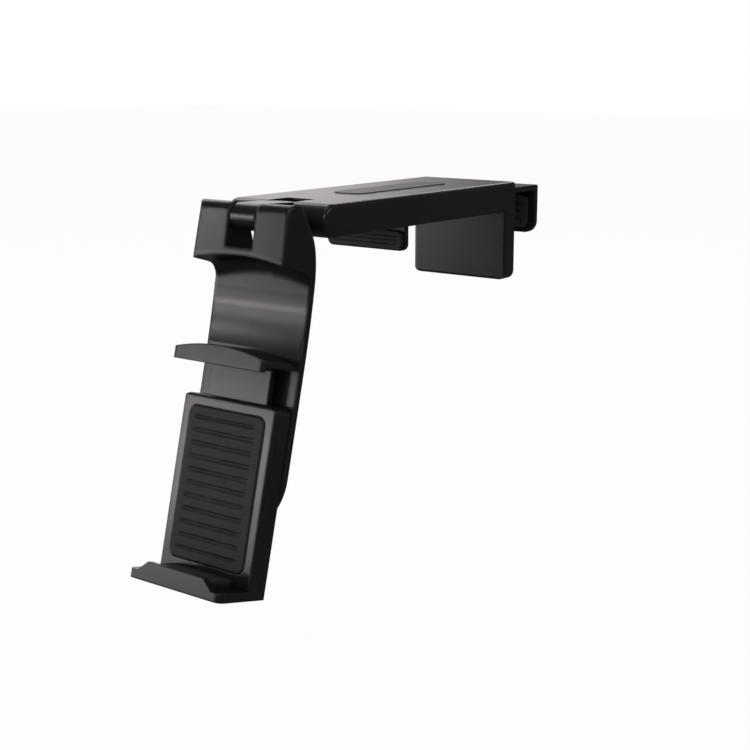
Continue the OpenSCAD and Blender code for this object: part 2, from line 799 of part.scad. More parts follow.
module holder_back() {
    tray_h = housing_up - floor_z;
    color(shell_colour)
    in_holder() difference() {
        union() {
            lower_shelf();
            difference() {
                along(cavity_y, holder_back_y) translate([0, floor_z - 1])
                    top_rounded(holder_w, tray_h + 1, housing_r);
                along(cavity_y - 1, wall_y) translate([0, floor_z + 1.6])
                    rounded_rect(holder_w - 2 * side_wall, tray_h - 3.2, 1.5);
                translate([-neck_w / 2 - fit_gap, cavity_y - 1, 0])
                    cube([neck_w + 2 * fit_gap, cavity_t + 1, housing_up + 1]);
            }
            case_screw_places() rod_y(cavity_y, wall_y + 0.1, case_post_r);
            // guide ribs beside the neck
            for (s = [-1, 1]) translate([s * (neck_w / 2 + fit_gap + 0.6) - 0.6, cavity_y, 0])
                cube([1.2, cavity_t + 0.1, housing_up - 8]);
            // spring seats with their posts
            for (x = [-spring_x, spring_x]) {
                translate([x - seat_w / 2, cavity_y + 0.2, floor_z + 1])
                    cube([seat_w, cavity_t, spring_seat - floor_z - 1]);
                translate([x, spring_y, spring_seat - 0.1]) cylinder(h = post_len + 0.1, r = post_r);
            }
            rod_y(holder_back_y - 0.1, hub_end, hub_r);
        }
        case_screw_places() rod_y(cavity_y - 1, holder_back_y + 1, case_screw_r);
        case_screw_places() rod_y(holder_back_y - 0.9, holder_back_y + 1, 2 * case_screw_r);
        rod_y(wall_y - 1, hub_end + 1, swivel_screw_r);
    }
}

module holder_front() {
    tray_h = housing_up - floor_z;
    color(shell_colour)
    in_holder() difference() {
        intersection() {
            along(cover_y, cavity_y) translate([0, floor_z]) top_rounded(holder_w, tray_h, housing_r);
            translate([0, 0, floor_z - 1]) linear_extrude(tray_h + 2)
                plate_plan(holder_w, cover_y, cavity_y, cover_edge_r);
            across(holder_w + 2) {
                translate([cover_y, floor_z - 1]) square([front_wall, tray_h + 1 - cover_edge_r]);
                translate([cover_y + cover_edge_r, floor_z]) square([front_wall - cover_edge_r, tray_h]);
                translate([cover_y + cover_edge_r, housing_up - cover_edge_r]) circle(cover_edge_r);
            }
        }
        back_pad_outline(cover_y - 1, cover_y + pad_recess, 0);
        case_screw_places() rod_y(cavity_y - 1.2, cavity_y + 1, case_screw_r);
    }
}

// Prism of the back pad from one Y to another, less a fit gap all round
module back_pad_outline(y0, y1, fit) {
    pad_w = holder_w - 2 * back_pad_side - 2 * fit;
    pad_h = housing_up - floor_z - back_pad_low - back_pad_top - 2 * fit;
    along(y0, y1) translate([0, floor_z + back_pad_low + fit]) rounded_rect(pad_w, pad_h, housing_r - fit);
}

module back_pad() {
    rib_pitch = 4.6;
    rib_side = 3;
    groove_w = holder_w - 2 * back_pad_side - 2 * rib_side;
    groove_h = 1.2;
    low = floor_z + back_pad_low + pad_fit;
    count = floor((housing_up - back_pad_top - low) / rib_pitch) - 1;
    color(rubber_colour)
    in_holder() difference() {
        back_pad_outline(seat_y, cover_y + pad_recess, pad_fit);
        for (i = [1 : count])
            translate([-groove_w / 2, seat_y - 1, low + i * rib_pitch]) cube([groove_w, 1.5, groove_h]);
    }
}

module lower_jaw_pad() {
    pad_w = holder_w - 2 * lower_pad_side;
    pad_front = lip_y + jaw_lip_t + 1.6;
    count = floor((cover_y - pad_front) / jaw_rib_pitch) - 1;
    color(rubber_colour)
    in_holder() difference() {
        translate([-pad_w / 2, pad_front, floor_z]) cube([pad_w, cover_y - pad_front, lower_pad_t]);
        for (i = [1 : count])
            translate([-pad_w, pad_front + i * jaw_rib_pitch - 0.3, floor_z + lower_pad_t - 0.6])
                cube([2 * pad_w, 0.7, 1]);
    }
}

module holder_screws() {
    color(steel_colour)
    in_holder() case_screw_places() difference() {
        union() {
            rod_y(cavity_y - 1.1, holder_back_y - 0.8, case_screw_r);
            rod_y(holder_back_y - 0.9, holder_back_y - 0.1, 2 * case_screw_r);
        }
        translate([-0.25, holder_back_y - 0.5, -1.3]) cube([0.5, 1, 2.6]);
        translate([-1.3, holder_back_y - 0.5, -0.25]) cube([2.6, 1, 0.5]);
    }
}

module swivel_washer() {
    gap = hub_end - strap_back - strap_t;
    color(steel_colour)
    in_holder() difference() {
        rod_y(hub_end - gap + run_gap, hub_end - run_gap, swivel_cap_r - 0.8);
        rod_y(hub_end - gap - 1, hub_end + 1, hub_r + 2 * run_gap);
    }
}

module swivel_cap() {
    color(shell_colour)
    in_holder() difference() {
        translate([0, hub_end, 0]) rotate([-90, 0, 0]) rotate_extrude() difference() {
            union() {
                square([swivel_cap_r, swivel_cap_t - swivel_cap_edge]);
                square([swivel_cap_r - swivel_cap_edge, swivel_cap_t]);
                translate([swivel_cap_r, swivel_cap_t] - [1, 1] * swivel_cap_edge) circle(swivel_cap_edge);
            }
            translate([0, swivel_cap_t - screw_recess]) square([screw_recess_r, swivel_cap_t]);
            square([swivel_screw_r, 2 * swivel_cap_t]);
        }
        // coin slots round the cap
        for (a = [0 : 60 : 300]) rotate([0, a, 0])
            translate([swivel_cap_r - 2.6, hub_end + swivel_cap_t - 0.5, -0.6]) cube([4, 1, 1.2]);
    }
}

module swivel_screw() {
    head_y = hub_end + swivel_cap_t - screw_recess;
    color(steel_colour)
    in_holder() difference() {
        union() {
            rod_y(wall_y + 0.2, head_y + 0.1, swivel_screw_r);
            rod_y(head_y, head_y + 1, 2.9);
        }
        translate([-0.35, head_y + 0.5, -1.9]) cube([0.7, 1, 3.8]);
        translate([-1.9, head_y + 0.5, -0.35]) cube([3.8, 1, 0.7]);
    }
}

// Side outline of the upper jaw's block with its front lip and rounded rear corner
module jaw_side() {
    top = gap_half + jaw_end_h + jaw_arch + 1;
    turn = jaw_rear - jaw_rear_r;
    translate([jaw_front, block_z]) square([turn - jaw_front, top - block_z]);
    translate([jaw_front, gap_half - 0.5]) square([jaw_lip_front_t, jaw_pad_t + 1]);
    difference() {
        translate([turn - 0.1, block_z]) square([jaw_rear_r + 0.1, gap_half + jaw_end_h - block_z]);
        translate([turn, gap_half + jaw_end_h - jaw_rear_r]) difference() {
            square([jaw_rear_r + 1, jaw_rear_r + 1]);
            circle(jaw_rear_r);
        }
    }
}

module upper_jaw() {
    top_r = jaw_arch_r;
    crown = gap_half + jaw_end_h + jaw_arch;
    color(shell_colour)
    in_holder() difference() {
        union() {
            intersection() {
                across(holder_w) jaw_side();
                translate([0, 0, crown - top_r]) rod_y(jaw_front - 1, holder_back_y, top_r, $fn = 180);
                translate([0, 0, gap_half - 2]) linear_extrude(20)
                    plate_plan(holder_w, jaw_front, holder_back_y, jaw_corner_r);
            }
            translate([-neck_w / 2, neck_y, neck_low]) cube([neck_w, neck_t, block_z - neck_low + 1]);
            for (x = [-spring_x, spring_x])
                translate([x, spring_y, neck_low - post_len]) cylinder(h = post_len + 0.1, r = post_r * 0.92);
        }
        // slots that lighten the neck
        for (x = [-neck_slot_x, neck_slot_x])
            translate([x - neck_slot_w / 2, neck_y - 1, neck_low + 6])
                cube([neck_slot_w, neck_t + 2, neck_slot_h]);
    }
}

module upper_jaw_pad() {
    pad_w = holder_w - 2 * upper_pad_side;
    front = jaw_front + jaw_lip_front_t + 0.2;
    back = cover_y - 0.2;
    color(rubber_colour)
    in_holder() difference() {
        translate([-pad_w / 2, front, gap_half]) cube([pad_w, back - front, jaw_pad_t]);
        for (i = [1 : floor((back - front) / jaw_rib_pitch)])
            translate([-pad_w, front + i * jaw_rib_pitch - 0.8, gap_half - 0.5]) cube([2 * pad_w, 0.7, 0.9]);
    }
}

module jaw_springs() {
    color(steel_colour)
    in_holder() for (x = [-spring_x, spring_x])
        translate([x, spring_y, spring_seat]) coil(neck_low - spring_seat, jaw_coil_r, jaw_wire_r, jaw_turns);
}

arm_channel();
top_strip();
stop_pad();
guide_rods();
fold_pin();
fold_pin_cap();
hook_slide();
hook_pad();
finger_grip();
grip_pad();
grip_screws();
slide_springs();
link();
fold_washers();
tilt_washers();
bracket();
tilt_pin();
tilt_pin_cap();
holder_back();
holder_front();
back_pad();
lower_jaw_pad();
holder_screws();
swivel_washer();
swivel_cap();
swivel_screw();
upper_jaw();
upper_jaw_pad();
jaw_springs();
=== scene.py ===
"""Looks of a folding airplane phone mount: finishes, rubber pads, wound springs and a plain studio."""
import json
import logging
import math
from dataclasses import dataclass, field
from enum import Enum
from typing import Any, Sequence

import bmesh
import bpy
import numpy as np
from mathutils import Matrix, Vector

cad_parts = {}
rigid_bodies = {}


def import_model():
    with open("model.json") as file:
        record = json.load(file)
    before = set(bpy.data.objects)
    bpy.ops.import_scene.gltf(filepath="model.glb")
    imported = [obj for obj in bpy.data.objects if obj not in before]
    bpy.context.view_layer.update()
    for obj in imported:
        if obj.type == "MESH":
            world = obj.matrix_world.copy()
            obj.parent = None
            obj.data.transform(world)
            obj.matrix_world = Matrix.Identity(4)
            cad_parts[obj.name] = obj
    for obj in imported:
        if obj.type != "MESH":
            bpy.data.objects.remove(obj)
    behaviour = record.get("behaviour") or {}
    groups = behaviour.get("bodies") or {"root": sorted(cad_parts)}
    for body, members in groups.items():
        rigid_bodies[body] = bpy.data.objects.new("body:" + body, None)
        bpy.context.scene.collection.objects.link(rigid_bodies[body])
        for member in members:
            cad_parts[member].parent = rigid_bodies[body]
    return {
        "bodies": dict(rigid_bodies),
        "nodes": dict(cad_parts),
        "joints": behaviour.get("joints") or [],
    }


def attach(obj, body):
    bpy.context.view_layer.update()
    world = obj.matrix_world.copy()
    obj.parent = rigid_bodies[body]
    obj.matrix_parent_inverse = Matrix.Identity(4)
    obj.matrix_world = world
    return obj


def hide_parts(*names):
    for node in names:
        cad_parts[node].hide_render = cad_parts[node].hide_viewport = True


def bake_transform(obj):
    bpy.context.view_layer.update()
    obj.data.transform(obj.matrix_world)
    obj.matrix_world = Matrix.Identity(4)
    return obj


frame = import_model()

LOG = logging.getLogger("phone_mount")
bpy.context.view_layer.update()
Triple = tuple[float, float, float]
Band = tuple[float, float]

WARM: Triple = (1.0, 0.945, 0.95)
WHITE: Triple = (1.0, 1.0, 1.0)


class Body(Enum):
    """The rigid bodies that a piece can ride on."""

    ARM = "arm"
    HOOK = "hook"
    LINK = "link"
    BRACKET = "bracket"
    HOLDER = "holder"
    JAW = "jaw"


class Slot(Enum):
    """The record's material slots."""

    SHELL = "shell"
    STRIP = "strip"
    RUBBER = "rubber"
    CAP = "cap"
    STEEL = "steel"
    SPRING = "spring"


class Sock:
    """A shader output that takes part in Python arithmetic; each operator adds one Math node."""

    def __init__(self, tree: "Tree", out: bpy.types.NodeSocket) -> None:
        """Keep the tree and the output socket."""
        self.tree = tree
        self.out = out

    def _math(self, operation: str, *values: Any) -> "Sock":
        """One Math node on the given values."""
        return self.tree.node("ShaderNodeMath", {"operation": operation}, dict(enumerate(values)))

    def __add__(self, other: Any) -> "Sock":
        """This plus other."""
        return self._math("ADD", self, other)

    def __radd__(self, other: Any) -> "Sock":
        """Other plus this."""
        return self._math("ADD", other, self)

    def __sub__(self, other: Any) -> "Sock":
        """This minus other."""
        return self._math("SUBTRACT", self, other)

    def __rsub__(self, other: Any) -> "Sock":
        """Other minus this."""
        return self._math("SUBTRACT", other, self)

    def __mul__(self, other: Any) -> "Sock":
        """This times other."""
        return self._math("MULTIPLY", self, other)

    def __rmul__(self, other: Any) -> "Sock":
        """Other times this."""
        return self._math("MULTIPLY", other, self)

    def above_zero(self, soft: float) -> "Sock":
        """This where it is positive, else 0, with a corner rounded over the width soft."""
        return self._math("SMOOTH_MAX", self, 0.0, soft)

    def at_most(self, limit: float) -> "Sock":
        """This, but no more than the limit."""
        return self._math("MINIMUM", self, limit)

    def ramp(self, low: float, high: float) -> "Sock":
        """Smooth step that is 0 on low's side and 1 on high's."""
        settings = {"interpolation_type": "SMOOTHSTEP"}
        values = {"Value": self, "From Min": low, "From Max": high}
        return self.tree.node("ShaderNodeMapRange", settings, values)


def opaque(colour: Triple) -> tuple[float, float, float, float]:
    """A colour with an alpha of 1."""
    return (*colour, 1.0)


class Tree:
    """A node tree under construction, for a material or the world."""

    def __init__(self, owner: Any) -> None:
        """Empty the owner's node tree and keep it.

        Args:
            owner: A material or a world.
        """
        owner.use_nodes = True
        self.nodes = owner.node_tree.nodes
        self.links = owner.node_tree.links
        self.nodes.clear()

    def node(self, kind: str, settings: dict[str, Any], values: dict[Any, Any], out: Any = 0) -> Sock:
        """Add one node.

        Args:
            kind: Blender's type name of the node.
            settings: Properties, which are set first.
            values: Input name or number to a number, tuple or Sock.
            out: Name or number of the output that is wanted.

        Returns:
            The chosen output, wrapped.
        """
        made = self.nodes.new(kind)
        for key, value in settings.items():
            setattr(made, key, value)
        for key, value in values.items():
            if isinstance(value, Sock):
                self.links.new(value.out, made.inputs[key])
            else:
                made.inputs[key].default_value = value
        return Sock(self, made.outputs[out])

    def show(self, shader: Sock, kind: str = "ShaderNodeOutputMaterial") -> None:
        """Link a shader to the tree's end, a material's output or the world's."""
        end = self.nodes.new(kind)
        self.links.new(shader.out, end.inputs["Surface"])

    def noise(self, where: Sock, scale: float, detail: float = 3.0, roughness: float = 0.5) -> Sock:
        """Fractal noise from 0 to 1 at a place given in metres, with scale in features per metre."""
        values = {"Vector": where, "Scale": scale, "Detail": detail, "Roughness": roughness}
        return self.node("ShaderNodeTexNoise", {}, values)

    def tint(self, factor: Sock, low: Any, high: Any) -> Sock:
        """Colour between low and high, each an opaque colour or a Sock, through a Mix node."""
        return self.node("ShaderNodeMix", {"data_type": "RGBA"}, {0: factor, 6: low, 7: high}, 2)

    def blend(self, factor: Sock, first: Sock, second: Sock) -> Sock:
        """Shader that is the first where the factor is 0 and the second where it is 1."""
        return self.node("ShaderNodeMixShader", {}, {0: factor, 1: first, 2: second})

    def glow(self, colour: Triple, strength: Any) -> Sock:
        """Light given off by a surface, with the strength a number or a Sock."""
        return self.node("ShaderNodeEmission", {}, {"Color": opaque(colour), "Strength": strength})

    def backdrop(self, colour: Triple, strength: Any) -> Sock:
        """Light that comes in from the world, with the strength a number or a Sock."""
        return self.node("ShaderNodeBackground", {}, {"Color": opaque(colour), "Strength": strength})

    def bump(self, height: Sock, distance: float, strength: float, normal: Sock | None = None) -> Sock:
        """Normal bent by a height field.

        Args:
            height: The height, in units of the distance.
            distance: Metres that a height of 1 stands for.
            strength: Share of the bend that is kept.
            normal: The normal to bend, or None for the surface's own.

        Returns:
            The bent normal.
        """
        values = {"Strength": strength, "Distance": distance, "Height": height}
        if normal is not None:
            values["Normal"] = normal
        return self.node("ShaderNodeBump", {}, values)

    def dot(self, vector: Sock, other: Any) -> Sock:
        """Dot product of two vectors."""
        settings = {"operation": "DOT_PRODUCT"}
        return self.node("ShaderNodeVectorMath", settings, {0: vector, 1: other}, "Value")

    def place(self) -> Sock:
        """Object coordinates, in metres."""
        return self.node("ShaderNodeTexCoord", {}, {}, "Object")

    def along(self, axis: Triple) -> Sock:
        """Distance of the place along an axis, in metres."""
        return self.dot(self.place(), axis)

    def stretched(self, where: Sock, scale: Triple) -> Sock:
        """Coordinates scaled by their own factor on each axis."""
        return self.node("ShaderNodeMapping", {}, {"Vector": where, "Scale": scale})


@dataclass(frozen=True)
class Finish:
    """A surface finish; subclasses say what varies over it."""

    name: str = "finish"

    def surface(self, tree: Tree) -> dict[str, Any]:
        """Inputs of the Principled shader: numbers, tuples or sockets."""
        raise NotImplementedError

    def material(self) -> bpy.types.Material:
        """Build the material once and hand out the same one afterwards."""
        known = bpy.data.materials.get(self.name)
        if known:
            return known
        made = bpy.data.materials.new(self.name)
        tree = Tree(made)
        tree.show(tree.node("ShaderNodeBsdfPrincipled", {}, self.surface(tree)))
        return made


@dataclass(frozen=True)
class MouldedShell(Finish):
    """Satin injection moulding, near black and slightly warm: fine grain, faint flow bands, rubbed edges."""

    name: str = "moulded_shell"
    dark: Triple = (0.0105, 0.0094, 0.0094)
    pale: Triple = (0.0155, 0.0141, 0.0141)
    rubbed: Triple = (0.042, 0.038, 0.037)
    roughness: float = 0.22
    flow_per_m: float = 26.0
    flow_stretch: Triple = (1.0, 0.45, 1.0)
    flow_band: Band = (0.30, 0.70)
    grain_per_m: float = 5200.0
    grain_depth: float = 0.000005
    grain_gloss: float = 0.05
    smear_per_m: float = 90.0
    smear_band: Band = (0.30, 0.75)
    smear_gloss: float = 0.10
    edge: float = 0.0009
    rub_band: Band = (0.02, 0.30)
    rub_share: float = 0.8
    rub_gloss: float = 0.08

    def form(self, tree: Tree, normal: Sock) -> Sock:
        """The smooth surface under the grain; a subclass may bend it."""
        return normal

    def surface(self, tree: Tree) -> dict[str, Any]:
        """Grain as bump, slow colour and roughness drift, and paler smoother edges where hands rub."""
        where = tree.place()
        flow = tree.noise(tree.stretched(where, self.flow_stretch), self.flow_per_m, 2.0)
        grain = tree.noise(where, self.grain_per_m, 2.0, 0.6)
        smear = tree.noise(where, self.smear_per_m, 4.0, 0.62)
        rounded = tree.node("ShaderNodeBevel", {"samples": 6}, {"Radius": self.edge})
        flat = tree.node("ShaderNodeNewGeometry", {}, {}, "Normal")
        rub = (1.0 - tree.dot(rounded, flat)).ramp(*self.rub_band) * smear.ramp(*self.smear_band)
        base = tree.tint(flow.ramp(*self.flow_band), opaque(self.dark), opaque(self.pale))
        drift = (smear - 0.5) * self.smear_gloss + (grain - 0.5) * self.grain_gloss
        return {
            "Base Color": tree.tint(rub * self.rub_share, base, opaque(self.rubbed)),
            "Roughness": self.roughness + drift - rub * self.rub_gloss,
            "Normal": tree.bump(grain, self.grain_depth, 0.5, self.form(tree, rounded)),
        }


@dataclass(frozen=True)
class BentShell(MouldedShell):
    """The shell on the bracket, whose strap runs out of the scoop and through its bow in one sweep.

    Distances are up the strap from the tilt pin, in metres.
    """

    name: str = "moulded_bracket"
    edge: float = 0.002
    upward: Triple = (0.0, 0.0, 1.0)
    backward: Triple = (0.0, 1.0, 0.0)
    pivot: float = 0.0
    bow_top: float = -0.023
    bow_slope: float = 0.0667
    join: float = 0.003
    fade_from: float = -0.019
    scoop_top: float = -0.013
    swell: float = 0.002
    swell_from: float = -0.0305
    turn_from: float = -0.033
    turn_join: float = 0.004
    turn_per_m: float = 14.0
    turn_reach: float = 0.011
    front_band: Band = (0.0, -0.5)

    def form(self, tree: Tree, normal: Sock) -> Sock:
        """Bend the front's normal by a height field over the distance up the strap.

        The height goes on rising above the bow's top at the bow's own slope and fades out in the scoop,
        swells by a smooth step over the scoop's foot, and rises by a parabola below the bow's middle.
        """
        up = tree.along(self.upward) - self.pivot
        fade = 1.0 - up.ramp(self.fade_from, self.scoop_top)
        sweep = (up - self.bow_top).above_zero(self.join) * fade * self.bow_slope
        foot = up.ramp(self.swell_from, self.scoop_top) * self.swell
        low = (self.turn_from - up).above_zero(self.turn_join).at_most(self.turn_reach)
        facing = tree.dot(tree.node("ShaderNodeNewGeometry", {}, {}, "True Normal"), self.backward)
        height = (sweep + foot + low * low * (self.turn_per_m / 2)) * facing.ramp(*self.front_band)
        return tree.bump(height, 1.0, 1.0, normal)


@dataclass(frozen=True)
class SoftRubber(Finish):
    """Matt black elastomer with a fine skin, dusty and rougher in patches and slightly polished between
    them.
    """

    name: str = "soft_rubber"
    dark: Triple = (0.014, 0.0135, 0.014)
    dusty: Triple = (0.030, 0.029, 0.029)
    roughness: float = 0.62
    dust_per_m: float = 240.0
    dust_band: Band = (0.35, 0.75)
    dust_gloss: float = 0.25
    skin_per_m: float = 3600.0
    skin_depth: float = 0.00003

    def surface(self, tree: Tree) -> dict[str, Any]:
        """A fine skin as bump and a dusty drift in colour and roughness."""
        where = tree.place()
        dust = tree.noise(where, self.dust_per_m, 4.0, 0.6)
        skin = tree.noise(where, self.skin_per_m, 2.0, 0.55)
        return {
            "Base Color": tree.tint(dust.ramp(*self.dust_band), opaque(self.dark), opaque(self.dusty)),
            "Roughness": self.roughness + (dust - 0.5) * self.dust_gloss,
            "Normal": tree.bump(skin, self.skin_depth, 0.6),
        }


@dataclass(frozen=True)
class InlaidStrip(Finish):
    """Fine matt skin of the strip let into the arm's top."""

    name: str = "inlaid_strip"
    dark: Triple = (0.062, 0.056, 0.056)
    pale: Triple = (0.078, 0.072, 0.072)
    roughness: float = 0.36
    drawn_per_m: float = 2600.0
    drawn_stretch: Triple = (1.0, 0.08, 1.0)
    drawn_depth: float = 0.00002
    drawn_gloss: float = 0.12
    drift_per_m: float = 60.0
    drift_band: Band = (0.3, 0.7)

    def surface(self, tree: Tree) -> dict[str, Any]:
        """A lengthwise drawn grain with a slow drift of colour."""
        where = tree.place()
        drawn = tree.noise(tree.stretched(where, self.drawn_stretch), self.drawn_per_m, 3.0, 0.6)
        drift = tree.noise(where, self.drift_per_m, 3.0)
        return {
            "Base Color": tree.tint(drift.ramp(*self.drift_band), opaque(self.dark), opaque(self.pale)),
            "Roughness": self.roughness + (drawn - 0.5) * self.drawn_gloss,
            "Normal": tree.bump(drawn, self.drawn_depth, 0.5),
        }


@dataclass(frozen=True)
class TurnedSteel(Finish):
    """Bright turned steel of pins, rods, screws and washers, with fine tool marks and faint oil haze."""

    name: str = "turned_steel"
    bright: Triple = (0.62, 0.62, 0.63)
    dull: Triple = (0.44, 0.43, 0.42)
    roughness: float = 0.27
    marks: Triple = (1.0, 9.0, 1.0)
    marks_per_m: float = 900.0
    marks_depth: float = 0.00001
    marks_gloss: float = 0.14
    stain_per_m: float = 160.0
    stain_band: Band = (0.35, 0.8)
    stain_gloss: float = 0.10

    def surface(self, tree: Tree) -> dict[str, Any]:
        """Close streaks across the work and slow stains."""
        where = tree.place()
        streak = tree.noise(tree.stretched(where, self.marks), self.marks_per_m, 3.0, 0.6)
        stain = tree.noise(where, self.stain_per_m, 4.0, 0.6)
        drift = (streak - 0.5) * self.marks_gloss + (stain - 0.5) * self.stain_gloss
        return {
            "Base Color": tree.tint(stain.ramp(*self.stain_band), opaque(self.bright), opaque(self.dull)),
            "Metallic": 1.0,
            "Roughness": self.roughness + drift,
            "Normal": tree.bump(streak, self.marks_depth, 0.35),
        }


SPRING_WIRE = TurnedSteel("spring_wire", roughness=0.24, marks=(1.0, 1.0, 1.0))


@dataclass(frozen=True)
class Axes:
    """A right-handed local frame in the row frame: an origin and three unit axes."""

    origin: np.ndarray
    x: np.ndarray
    y: np.ndarray
    z: np.ndarray

    def rows(self) -> np.ndarray:
        """The three axes, one to a row."""
        return np.array([self.x, self.y, self.z])

    def out(self, local: np.ndarray) -> np.ndarray:
        """Row-frame points of local ones: the origin plus each coordinate times its axis."""
        return self.origin + local @ self.rows()

    def inside(self, points: np.ndarray) -> np.ndarray:
        """Local coordinates of row-frame points."""
        return (points - self.origin) @ self.rows().T

    def box(self, node: str) -> tuple[np.ndarray, np.ndarray]:
        """Lowest and highest local corner of a CAD node at rest."""
        mesh = frame["nodes"][node].data
        flat = np.empty(len(mesh.vertices) * 3)
        mesh.vertices.foreach_get("co", flat)
        local = self.inside(flat.reshape(-1, 3))
        return local.min(0), local.max(0)


def row_axes() -> Axes:
    """The row frame itself."""
    return Axes(np.zeros(3), *np.eye(3))


def joint(name: str) -> dict[str, Any]:
    """A joint of the frame, by name."""
    return next(found for found in frame["joints"] if found["name"] == name)


def head_axes() -> Axes:
    """The leaning frame of the holder: Y along the swivel, Z along the jaw's travel."""
    back = np.array(joint("holder_spin")["axis"], float)
    back /= np.linalg.norm(back)
    up = np.array(joint("jaw_slide")["axis"], float)
    up -= back * (up @ back)
    up /= np.linalg.norm(up)
    return Axes(np.array(joint("holder_spin")["pos_m"], float), np.cross(back, up), back, up)


def mesh_piece(
    name: str, points: np.ndarray, faces: Sequence[Sequence[int]], finish: Finish
) -> bpy.types.Object:
    """Make a mesh object at the origin.

    Args:
        name: The piece's name.
        points: Its vertices in the row frame, in metres.
        faces: Vertex numbers of each face of a closed surface.
        finish: Its surface finish.

    Returns:
        The linked object, smooth shaded, with every face turned outwards.
    """
    mesh = bpy.data.meshes.new(name)
    mesh.from_pydata(points.tolist(), [], [tuple(int(i) for i in face) for face in faces])
    mesh.update()
    mesh.polygons.foreach_set("use_smooth", np.ones(len(mesh.polygons), bool))
    mesh.materials.append(finish.material())
    work = bmesh.new()
    work.from_mesh(mesh)
    bmesh.ops.recalc_face_normals(work, faces=work.faces)
    work.to_mesh(mesh)
    work.free()
    piece = bpy.data.objects.new(name, mesh)
    bpy.context.scene.collection.objects.link(piece)
    LOG.info("%s: %d points", name, len(points))
    return piece


def grid_faces(rows: int, columns: int, closed: bool = False) -> np.ndarray:
    """Quads of a grid of points stored row by row; closed joins the last column to the first."""
    i, j = np.meshgrid(np.arange(rows - 1), np.arange(columns if closed else columns - 1), indexing="ij")
    k = (j + 1) % columns
    quads = np.stack([i * columns + j, i * columns + k, (i + 1) * columns + k, (i + 1) * columns + j], -1)
    return quads.reshape(-1, 4)


def spaced(half: float, edge: float, step: float, rim_lines: int = 6) -> np.ndarray:
    """Grid lines from -half to half, close together over the rounded edge at both ends."""
    rim = half - edge * (1 - np.cos(np.linspace(0, math.pi / 2, rim_lines)))
    count = max(3, int(2 * (half - edge) / step))
    middle = np.linspace(-(half - edge), half - edge, count)
    return np.unique(np.round(np.concatenate([-rim, middle, rim]), 8))


@dataclass(frozen=True)
class PadStyle:
    """How a rubber pad is moulded: corners, rolled rim and the grooves across its face, in metres."""

    corner: float
    rim: float
    pitch: float
    groove: float
    margin: float
    step: float = 0.00022
    along_step: float = 3.0
    sharpness: float = 1.6


@dataclass(frozen=True)
class RibbedPad:
    """A moulded rubber pad: rounded plan, rolled rim and rows of shallow grooves across its face."""

    width: float
    height: float
    depth: float
    style: PadStyle

    def shape(self) -> tuple[np.ndarray, list[tuple[int, ...]]]:
        """Work the pad out on a grid.

        A corner square maps to a quarter disc by u = a sqrt(1 - b b / 2) and v = b sqrt(1 - a a / 2). The
        face lies at the pad's depth, less a quarter circle over the rim and less a raised cosine in each
        groove.

        Returns:
            Points (across, up, out) with the pad's back at 0, and faces.
        """
        style, rim, corner = self.style, self.style.rim, self.style.corner
        half_w, half_h = self.width / 2, self.height / 2
        us = spaced(half_w, rim, style.step * style.along_step)
        vs = spaced(half_h, rim, style.step)
        u, v = np.meshgrid(us, vs, indexing="ij")
        a = np.clip((np.abs(u) - (half_w - corner)) / corner, 0, 1)
        b = np.clip((np.abs(v) - (half_h - corner)) / corner, 0, 1)
        both = (a > 0) & (b > 0)
        ca, cb = a * np.sqrt(1 - b * b / 2), b * np.sqrt(1 - a * a / 2)
        x = np.where(both, np.sign(u) * (half_w - corner + ca * corner), u)
        y = np.where(both, np.sign(v) * (half_h - corner + cb * corner), v)
        straight = np.minimum(half_w - np.abs(x), half_h - np.abs(y))
        reach = np.where(both, corner * (1 - np.hypot(ca, cb)), straight)
        lost = rim - np.sqrt(np.clip(rim**2 - np.clip(rim - reach, 0, None) ** 2, 0, None))
        wave = np.cos(2 * math.pi * y / style.pitch) * style.sharpness - (style.sharpness - 1)
        ends = np.clip((half_w - style.margin - np.abs(x)) / (2 * rim), 0, 1)
        rows_end = np.clip((half_h - style.margin - np.abs(y)) / rim, 0, 1)
        out = self.depth - lost - style.groove * np.clip(wave, 0, 1) * ends * rows_end
        top = np.stack([x, y, out], -1).reshape(-1, 3)
        rows, columns = u.shape
        number = np.arange(rows * columns).reshape(rows, columns)
        loop = np.concatenate([number[:-1, 0], number[-1, :-1], number[:0:-1, -1], number[0, :0:-1]])
        foot = top[loop].copy()
        foot[:, 2] = 0.0
        low = rows * columns + np.arange(len(loop))
        walls = np.stack([loop, low, np.roll(low, -1), np.roll(loop, -1)], -1)
        faces = [tuple(quad) for quad in grid_faces(rows, columns)]
        faces += [tuple(quad) for quad in walls] + [tuple(low[::-1])]
        return np.vstack([top, foot]), faces


